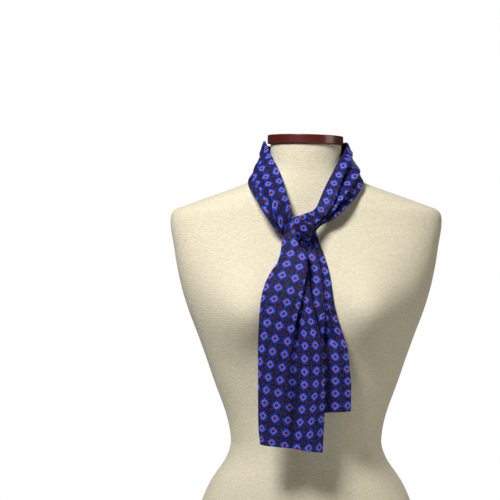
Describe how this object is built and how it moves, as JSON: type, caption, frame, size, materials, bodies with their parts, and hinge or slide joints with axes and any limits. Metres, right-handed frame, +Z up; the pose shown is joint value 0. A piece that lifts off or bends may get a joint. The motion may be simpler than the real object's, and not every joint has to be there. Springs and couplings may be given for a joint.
{
  "type": "cravat on dress form",
  "caption": "Printed silk neck cravat knotted once at the throat, its two ends hanging in front, worn by a limbless padded dress form with a wooden neck cap",
  "frame": {"origin": "centre of the underside of the base board, which rests on the floor", "axes": "+Z up along the form's neck; the form and the knot face -Y; +X is the viewer's right from the front"},
  "size_m": [0.395, 0.2793, 0.6943],
  "materials": {
    "foulard_silk": "printed silk twill, soft sheen",
    "jersey": "cream jersey over padding, matt",
    "mahogany": "stained and polished, satin"
  },
  "bodies": {
    "root": {"dress_form": "jersey", "neck_cap": "mahogany", "base_board": "mahogany", "neck_band_right": "foulard_silk", "neck_band_back": "foulard_silk", "neck_band_left": "foulard_silk", "knot_core": "foulard_silk", "knot_wrap": "foulard_silk", "tail_long": "foulard_silk", "tail_short": "foulard_silk"}
  },
  "joints": []
}
